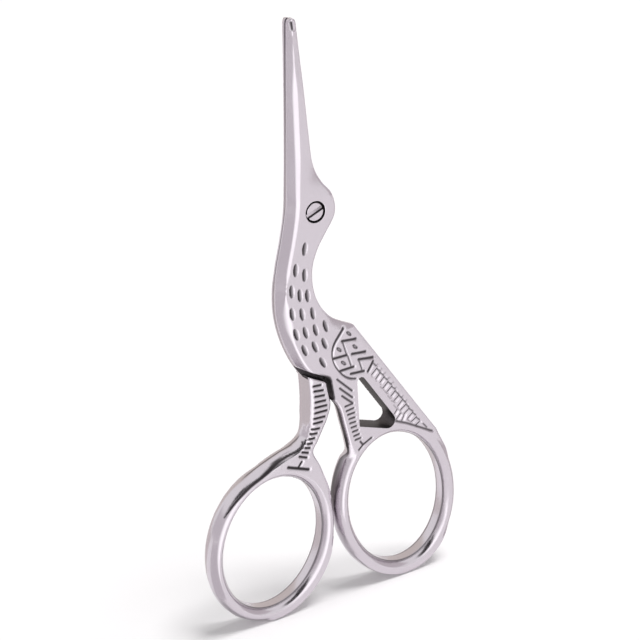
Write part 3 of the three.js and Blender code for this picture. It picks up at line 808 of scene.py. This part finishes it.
frontPlate = {
    "cell": 0.125, "rows": 8, "low": (-8.4, 0.0), "high": (22.6, 94.1), "sharp": 34, "roll": 0.12,
    # a wall as near an edge as rawNear is that edge's, and heights and a radius bound the raw ones
    "rawStep": True, "rawNear": 0.1, "rawBellyTop": 41, "rawLeg": (25, 36.5), "rawHole": 1.9,
    # painted shade on the window's upper walls: its darkness, nearness and run in height
    "windowShade": 0.95, "windowNear": 0.3, "windowRun": (27, 31),
    # painted shade on the ring's flank: its runs outward, to the right, to the back and up the flank, and its
    # darkness over height
    "flankOut": (0.3, 0.6), "flankRight": (3.6, 5), "flankBack": (-1.5, 0.3), "flankTop": (22.8, 24.2),
    "flankHeights": [8, 14, 17, 21.5, 23, 25.5, 27, 28],
    "flankShade": [0, 0.25, 0.8, 0.8, 0.75, 0.95, 0.95, 0],
}


# Unpolished: the window's walls, the belly's edge, the right leg's front side and the screw's hole. The raw
# steel's dark tone on these walls is partly painted shade.
def frontRawWall(x, z):
    near, (low, high) = frontPlate["rawNear"], frontPlate["rawLeg"]
    belly = (np.abs(outsideBelly(x, z)) < near) & (z < frontPlate["rawBellyTop"])
    leg = (np.abs(rightOf(breastEdge, x, z)) < near) & (z > low) & (z < high)
    return (np.abs(outsideWindow(x, z)) < near) | belly | leg | (pivotRadius(x, z) < frontPlate["rawHole"])


# Painted shade on walls: the ring's flank below the leg, towards the back and where the other ring is close,
# and the window's upper part.
def frontWallShade(x, y, z):
    flank = ease(ringOffset(rings["right"], x, z), *frontPlate["flankOut"])
    flank = flank * (1 - ease(x, *frontPlate["flankRight"]))
    flank = flank * mix(ease(y, *frontPlate["flankBack"]), 1, ease(z, *frontPlate["flankTop"]))
    flank = flank * np.interp(z, frontPlate["flankHeights"], frontPlate["flankShade"])
    inWindow = np.abs(outsideWindow(x, z)) < frontPlate["windowNear"]
    return np.maximum(flank, frontPlate["windowShade"] * inWindow * ease(z, *frontPlate["windowRun"]))


# above zero where the front half has its full thickness, past the rear half's room
def frontFull(x, z):
    return -rearRoom(x, z, 0)


frontPiece = plate(
    "front_half_steel", frontPlate, frontInside, frontSwell,
    (flatAt(0), workedFace(-1, frontHigh, frontInside, frontCuts, frontPlate["roll"])),
    (flatAt(-bird["parting"]), workedFace(1, frontBackHigh, frontInside, frontCuts, frontPlate["roll"])),
    stepBack=frontFull, rawWall=frontRawWall, wallDark=frontWallShade)

rearPlate = {
    "cell": 0.125, "rows": 8, "low": (-22.6, 0.0), "high": (4.0, 94.1), "sharp": 34, "roll": 0.12,
    "rawStep": True, "rawNear": 0.1, "rawHole": 1.2, "rawUnderBelly": 0.5, "cutsIn": 0.2,
    # the faint dark line along the middle of the foot's outer wall: darkness, half width, rise, end and right
    # limit
    "midLineDark": 0.8, "midLineHalf": 0.2, "midLineRise": (24.2, 25.2), "midLineEnd": (28.4, 29.4), "midLineRight": -4.5,
    "wallReflectionRun": (0.9, 1.5),
}


# Unpolished: the plate's end behind the shoulder and the threaded hole.
def rearRawWall(x, z):
    end = np.abs(rearRoom(x, z, bird["shoulderGap"])) < rearPlate["rawNear"]
    return (end & (legInside(x, z) < 0)) | (pivotRadius(x, z) < rearPlate["rawHole"])


# under the belly's edge: raw steel, dark there partly as painted shade in the gap under the belly
def rearShadedRawFace(x, z):
    return outsideBelly(x, z) < rearPlate["rawUnderBelly"]


# Dark walls: painted dark reflection of the foot's groove, carried onto the wall's front rows, and a faint
# dark line along the middle of the foot's outer wall.
def rearWallDark(x, y, z):
    # a faint dark line along the middle of the foot's outer wall, over a band of height
    seam = rearPlate["midLineDark"] * (np.abs(y) < rearPlate["midLineHalf"]) * ease(z, *rearPlate["midLineRise"])
    seam = seam * (1 - ease(z, *rearPlate["midLineEnd"])) * (x < rearPlate["midLineRight"])
    # painted dark reflection: the groove's darkness, carried onto the wall rows nearest the front
    groove = straightCuts(x, z, {"groove": legCutGroups["footGrooveReflection"]})[1]
    return np.maximum(seam, groove * ease(np.abs(y), *rearPlate["wallReflectionRun"]))


# The rear half's back repeats the feathers, and the left leg is cut on both faces.
def rearCuts(x, z):
    onPlate = (rearRoom(x, z, bird["shoulderGap"]) > rearPlate["cutsIn"]) & (legInside(x, z) < 0)
    depth, dark = bodyCuts(x, z)
    legDepth, legDark = legCuts(x, z)
    return np.where(onPlate, depth, legDepth), np.where(onPlate, dark, legDark)


rearPiece = plate(
    "rear_half_steel", rearPlate, rearInside, rearSwell,
    (flatAt(bird["parting"]), workedFace(-1, legHigh, legForward, legCuts, rearPlate["roll"])),
    (flatAt(0), workedFace(1, rearHigh, rearInside, rearCuts, rearPlate["roll"])),
    stepFront=legForward, rawWall=rearRawWall, rawFace=rearShadedRawFace, wallDark=rearWallDark)


# The screw is a disc with a rolled rim and a straight slot, its shank a step at the back.
# Distance inside the head, a radius less the distance from the axis, and the same for the shank.
def screwInside(x, z):
    return screw["headRadius"] - pivotRadius(x, z)


def shankInside(x, z):
    return screw["shankRadius"] - pivotRadius(x, z)


# distance above the slot's middle line
def acrossSlot(x, z):
    return (z - pivotZ) * math.cos(screw["slotAngle"]) - (x - pivotX) * math.sin(screw["slotAngle"])


# distance past the slot's sides
def outsideSlot(x, z):
    return np.abs(acrossSlot(x, z)) - screw["slotWidth"] / 2


# Level floor, with painted shade along its lower corner, less along its upper one, and painted shade growing
# to the right.
def slotFloor(x, z):
    across = acrossSlot(x, z)
    lower = screw["lowerCornerShade"] * (1 - ease(across + screw["slotWidth"] / 2, *screw["lowerRun"]))
    upper = screw["upperCornerShade"] * ease(across - screw["slotWidth"] / 2, *screw["upperRun"])
    least, more = screw["slotFloorShade"]
    dark = least + more * ease(x - pivotX, *screw["floorRun"]) + (lower + upper)
    return np.full(x.shape, headFront + screw["slotDepth"]), np.clip(dark, 0, screw["deepestSlotShade"])


# Level top, rolled over at the rim and a little along the slot.
def headTop(x, z):
    atRim = rolled(screwInside(x, z), screw["edgeRound"])
    atSlot = screw["slotShare"] * rolled(outsideSlot(x, z), screw["slotRound"])
    return headFront + atRim + atSlot, np.zeros(x.shape)


headFront = -bird["half"] + screw["headSink"]
screwPlate = {
    "cell": 0.055, "rows": 1, "low": birdCentre - screw["gridHalf"], "high": birdCentre + screw["gridHalf"],
    "sharp": 40, "rawStep": False,
}
screwPiece = plate(
    "pivot_screw_steel", screwPlate, screwInside, nothing, (slotFloor, headTop),
    (flatAt(headFront + screw["headHeight"]), flatAt(bird["half"] - screw["headSink"])),
    stepFront=outsideSlot, stepBack=shankInside)


# sRGB hex to the linear colour that sockets take
def hexColour(text):
    c = np.array([int(text[i:i + 2], 16) for i in (1, 3, 5)]) / 255
    linear = np.where(c <= 0.04045, c / 12.92, ((c + 0.055) / 1.055) ** 2.4)
    return (*linear.tolist(), 1.0)


# adds a node, sets its fields and inputs (i0 is the first), and links inputs given as (node, output)
def node(tree, kind, fields=None, **inputs):
    made = tree.nodes.new(kind)
    for key, value in (fields or {}).items():
        setattr(made, key, value)
    for key, value in inputs.items():
        numbered = key[0] == "i" and key[1:].isdigit()
        socket = made.inputs[int(key[1:]) if numbered else key.replace("_", " ")]
        if isinstance(value, tuple) and len(value) == 2 and hasattr(value[0], "outputs"):
            tree.links.new(value[0].outputs[value[1]], socket)
        else:
            socket.default_value = value
    return made


# a material with an empty node tree
def emptyMaterial(name):
    material = bpy.data.materials.new(name)
    material.use_nodes = True
    material.node_tree.nodes.clear()
    return material, material.node_tree


# Sizes and depths in mm. Real polishing marks and grit are far finer: haze, grain and lines are drawn as
# coarse as they need to be to show.
steel = {
    # the one dark colour serves both the oxide in the cuts and the painted shade
    "polished": "#D0C9D0", "oxideAndShade": "#332E31", "roughness": (0.16, 0.25), "oxideRoughness": 0.25,
    "waveSize": 3.5, "waveDepth": 0.012, "hazeSize": 0.9,
    "ground": ("#454043", "#625D60"), "groundRoughness": 0.5, "grainSize": 0.5, "grainDepth": 0.02,
    "satin": ("#A8A2A6", "#C2BCC1"), "satinRoughness": 0.36, "lineSize": 0.15, "lineDepth": 0.006,
    "lineStretch": 0.05, "grainStrength": 0.6, "lineStrength": 0.5,
}


# Stainless steel, drop-forged, tumbled and hand-polished: bright, faintly warm, with a slow waviness from the
# wheel, and blacker by the per-point darkness: oxide left at the bottom of the cuts, and painted shade and
# painted reflection along edges, walls and creases.
def polishedSteel():
    material, tree = emptyMaterial("polished_stainless_steel")
    place = node(tree, "ShaderNodeTexCoord")
    recess = node(tree, "ShaderNodeAttribute", {"attribute_name": "recess"})
    haze = node(tree, "ShaderNodeTexNoise", Vector=(place, "Object"), Detail=3.0,
                Scale=1 / (steel["hazeSize"] * mm))
    wave = node(tree, "ShaderNodeTexNoise", Vector=(place, "Object"), Detail=1.0,
                Scale=1 / (steel["waveSize"] * mm))
    colour = node(tree, "ShaderNodeMix", {"data_type": "RGBA"}, i0=(recess, "Fac"),
                  i6=hexColour(steel["polished"]), i7=hexColour(steel["oxideAndShade"]))
    sheen = node(tree, "ShaderNodeMapRange", Value=(haze, "Fac"), To_Min=steel["roughness"][0],
                 To_Max=steel["roughness"][1])
    rough = node(tree, "ShaderNodeMath", {"operation": "MULTIPLY_ADD"}, i0=(recess, "Fac"),
                 i1=steel["oxideRoughness"], i2=(sheen, "Result"))
    bump = node(tree, "ShaderNodeBump", Height=(wave, "Fac"), Strength=1.0, Distance=steel["waveDepth"] * mm)
    shader = node(tree, "ShaderNodeBsdfPrincipled", Base_Color=(colour, "Result"), Metallic=1.0,
                  Roughness=(rough, "Value"), Normal=(bump, "Normal"))
    node(tree, "ShaderNodeOutputMaterial", Surface=(shader, "BSDF"))
    return material


# The same steel where it was only punched or ground: dull, with a fine grain in two tones, and darker, a tone
# that is partly painted shade on walls facing away from the light. Blacker by the per-point darkness: oxide,
# and painted shade and painted reflection on the walls.
def groundSteel():
    material, tree = emptyMaterial("ground_stainless_steel")
    place = node(tree, "ShaderNodeTexCoord")
    grain = node(tree, "ShaderNodeTexNoise", Vector=(place, "Object"), Detail=4.0,
                 Scale=1 / (steel["grainSize"] * mm))
    tone = node(tree, "ShaderNodeMix", {"data_type": "RGBA"}, i0=(grain, "Fac"),
                i6=hexColour(steel["ground"][0]), i7=hexColour(steel["ground"][1]))
    recess = node(tree, "ShaderNodeAttribute", {"attribute_name": "recess"})
    colour = node(tree, "ShaderNodeMix", {"data_type": "RGBA"}, i0=(recess, "Fac"), i6=(tone, "Result"),
                  i7=hexColour(steel["oxideAndShade"]))
    bump = node(tree, "ShaderNodeBump", Height=(grain, "Fac"), Strength=steel["grainStrength"],
                Distance=steel["grainDepth"] * mm)
    shader = node(tree, "ShaderNodeBsdfPrincipled", Base_Color=(colour, "Result"), Metallic=1.0,
                  Roughness=steel["groundRoughness"], Normal=(bump, "Normal"))
    node(tree, "ShaderNodeOutputMaterial", Surface=(shader, "BSDF"))
    return material


# The same steel where the blades slide on each other: ground flat across the blade, bright but silky.
def satinSteel():
    material, tree = emptyMaterial("flat_ground_stainless_steel")
    place = node(tree, "ShaderNodeTexCoord")
    drawn = node(tree, "ShaderNodeMapping", Vector=(place, "Object"),
                 Scale=(steel["lineStretch"], steel["lineStretch"], 1.0))
    lines = node(tree, "ShaderNodeTexNoise", Vector=(drawn, "Vector"), Detail=3.0,
                 Scale=1 / (steel["lineSize"] * mm))
    tone = node(tree, "ShaderNodeMix", {"data_type": "RGBA"}, i0=(lines, "Fac"),
                i6=hexColour(steel["satin"][0]), i7=hexColour(steel["satin"][1]))
    bump = node(tree, "ShaderNodeBump", Height=(lines, "Fac"), Strength=steel["lineStrength"],
                Distance=steel["lineDepth"] * mm)
    shader = node(tree, "ShaderNodeBsdfPrincipled", Base_Color=(tone, "Result"), Metallic=1.0,
                  Roughness=steel["satinRoughness"], Normal=(bump, "Normal"))
    node(tree, "ShaderNodeOutputMaterial", Surface=(shader, "BSDF"))
    return material


finishes = polishedSteel(), groundSteel(), satinSteel()  # in the order of the material slots
for piece, body, cadNode, slotName in ((frontPiece, "front", "front_half", "front_steel"),
                                       (rearPiece, "rear", "rear_half", "rear_steel"),
                                       (screwPiece, "rear", "pivot_screw", "screw_steel")):
    for material in finishes:
        piece.data.materials.append(material)
    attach(piece, body)
    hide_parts(cadNode)
print("steel on all pieces")

studio = {
    "floor": "#F4F2F3", "floorGlow": 0.12, "floorSize": 3000.0, "skyStrength": 0.36,
    # a high window at the camera's right: soft shadows that fall to the left
    "sun": {"name": "window_sun", "at": (60, -35, 235), "aim": (0, 0, 0), "strength": 2.15, "angle": 28},
    # Only reflections see these cards. Each spans turns in degrees from the front. One with heights, in
    # degrees seen from the part's middle, is upright, and the others are paper on the floor. A card that has
    # a glow rises to it from 1 at its sides.
    "cards": [
        {"name": "white_card_front", "turn": (-54, 16), "height": (-4, 24), "grey": "#FFFFFF", "glow": 1.75},
        {"name": "white_paper_front", "turn": (-54, 16), "grey": "#FFFFFF", "glow": 1.75},
        {"name": "grey_paper_left", "turn": (-100, -54), "grey": "#DEDADD"},
        {"name": "grey_card_left", "turn": (-132, -54), "height": (-4, 22), "grey": "#E0DCDF"},
        {"name": "dark_flag_front", "turn": (-72, 8), "height": (29, 58), "grey": "#242023"},
        {"name": "warm_card_right", "turn": (40, 132), "height": (-4, 44), "grey": "#D6D0D2"},
        {"name": "warm_paper_right", "turn": (80, 120), "grey": "#D6D0D2"},
        {"name": "warm_card_behind", "turn": (132, 205), "height": (-4, 50), "grey": "#E2DBD4"},
        {"name": "warm_paper_behind", "turn": (120, 236), "grey": "#E4DEDC"},
    ],
    "cardFar": 420, "cardMiddle": 45, "cardSteps": 24, "paperReach": (24, 420), "paperLift": 0.5,
}
white = (1.0, 1.0, 1.0, 1.0)


# 1 for rays from the camera and for those that left metal or glass
def seenRays(tree):
    path = node(tree, "ShaderNodeLightPath")
    mirrored = node(tree, "ShaderNodeMath", {"operation": "MAXIMUM"}, i0=(path, "Is Glossy Ray"),
                    i1=(path, "Is Transmission Ray"))
    return node(tree, "ShaderNodeMath", {"operation": "MAXIMUM"}, i0=(path, "Is Camera Ray"),
                i1=(mirrored, "Value"))


# White paper under the part, a little brighter to the eye than its light makes it.
def addFloor():
    s = studio["floorSize"] * mm / 2
    mesh = bpy.data.meshes.new("floor")
    mesh.from_pydata([(-s, -s, 0), (s, -s, 0), (s, s, 0), (-s, s, 0)], [], [(0, 1, 2, 3)])
    floor = bpy.data.objects.new("floor", mesh)
    bpy.context.scene.collection.objects.link(floor)
    material, tree = emptyMaterial("matt_white_paper")
    lift = node(tree, "ShaderNodeMath", {"operation": "MULTIPLY"}, i0=(seenRays(tree), "Value"),
                i1=studio["floorGlow"])
    shader = node(tree, "ShaderNodeBsdfDiffuse", Color=hexColour(studio["floor"]))
    glow = node(tree, "ShaderNodeEmission", Color=white, Strength=(lift, "Value"))
    both = node(tree, "ShaderNodeAddShader", i0=(shader, "BSDF"), i1=(glow, "Emission"))
    node(tree, "ShaderNodeOutputMaterial", Surface=(both, "Shader"))
    mesh.materials.append(material)


# One broad sun, aimed along its own -Z, which the steel doesn't mirror.
def addSun():
    sun = studio["sun"]
    data = bpy.data.lights.new(sun["name"], "SUN")
    data.energy, data.angle = sun["strength"], math.radians(sun["angle"])
    item = bpy.data.objects.new(sun["name"], data)
    aimed = (Vector(sun["aim"]) - Vector(sun["at"])).to_track_quat("-Z", "Y").to_matrix().to_4x4()
    item.matrix_world = Matrix.Translation(Vector(sun["at"]) * mm) @ aimed
    item.visible_glossy = False
    bpy.context.scene.collection.objects.link(item)


# A card is a patch of a sphere round the part, or a wedge of paper lying on the floor.
def addCards():
    steps = studio["cardSteps"]
    for card in studio["cards"]:
        turn = np.radians(np.linspace(*card["turn"], steps + 1))[:, None]
        if "height" in card:
            height = np.radians(np.array(card["height"], float))[None, :]
            reach = studio["cardFar"] * np.cos(height)
            up = studio["cardMiddle"] + studio["cardFar"] * np.sin(height)
        else:
            reach, up = np.array(studio["paperReach"], float)[None, :], np.full((1, 2), studio["paperLift"])
        grid = np.stack([reach * np.sin(turn), -reach * np.cos(turn), up + 0 * turn], axis=2).reshape(-1, 3)
        first = 2 * np.arange(steps)[:, None]
        mesh = bpy.data.meshes.new(card["name"])
        mesh.from_pydata((grid * mm).tolist(), [], (first + [0, 1, 3, 2]).tolist())
        bright = mix(1, card.get("glow", 1), np.sin(np.linspace(0, math.pi, steps + 1)))
        bright = np.repeat(bright, 2).astype(np.float32)
        mesh.attributes.new("level", "FLOAT", "POINT").data.foreach_set("value", bright)
        item = bpy.data.objects.new(card["name"], mesh)
        bpy.context.scene.collection.objects.link(item)
        item.visible_camera = item.visible_diffuse = item.visible_shadow = item.visible_transmission = False
        material, tree = emptyMaterial(card["name"])
        level = node(tree, "ShaderNodeAttribute", {"attribute_name": "level"})
        glow = node(tree, "ShaderNodeEmission", Color=hexColour(card["grey"]), Strength=(level, "Fac"))
        node(tree, "ShaderNodeOutputMaterial", Surface=(glow, "Emission"))
        mesh.materials.append(material)


# A white sky, dimmer as a light than as it looks.
def addSky():
    world = bpy.data.worlds.new("white_studio")
    bpy.context.scene.world = world
    world.use_nodes = True
    tree = world.node_tree
    tree.nodes.clear()
    dim = node(tree, "ShaderNodeBackground", Color=white, Strength=studio["skyStrength"])
    full = node(tree, "ShaderNodeBackground", Color=white, Strength=1.0)
    both = node(tree, "ShaderNodeMixShader", i0=(seenRays(tree), "Value"), i1=(dim, "Background"),
                i2=(full, "Background"))
    node(tree, "ShaderNodeOutputWorld", Surface=(both, "Shader"))


# The photograph's view: turned left of the front, looking down, slightly rolled.
camera = {
    "turn": -30.08, "height": 22.61, "roll": -3.51, "distance": 318.1, "aim": (-0.06, 0.0, 46.92),
    "lens": 118.94, "sensor": 36, "clipStart": 10,
}


# Its axes: behind points from the aim to the camera, right is level and then rolled, up stands on both.
def addCamera():
    a, e, r = (math.radians(camera[k]) for k in ("turn", "height", "roll"))
    behind = Vector((math.sin(a) * math.cos(e), -math.cos(a) * math.cos(e), math.sin(e)))
    level = Vector((math.cos(a), math.sin(a), 0))
    upright = behind.cross(level)
    right = level * math.cos(r) + upright * math.sin(r)
    up = upright * math.cos(r) - level * math.sin(r)
    data = bpy.data.cameras.new("photo_view")
    data.sensor_width = camera["sensor"]
    data.lens = camera["lens"]
    data.clip_start = camera["clipStart"] * mm
    item = bpy.data.objects.new("photo_view", data)
    turn = Matrix((right, up, behind)).transposed().to_4x4()
    item.matrix_world = Matrix.Translation((Vector(camera["aim"]) + behind * camera["distance"]) * mm) @ turn
    bpy.context.scene.collection.objects.link(item)
    bpy.context.scene.camera = item


addFloor()
addSun()
addCards()
addSky()
addCamera()
bpy.context.scene.view_settings.view_transform = "Standard"
print("studio set")
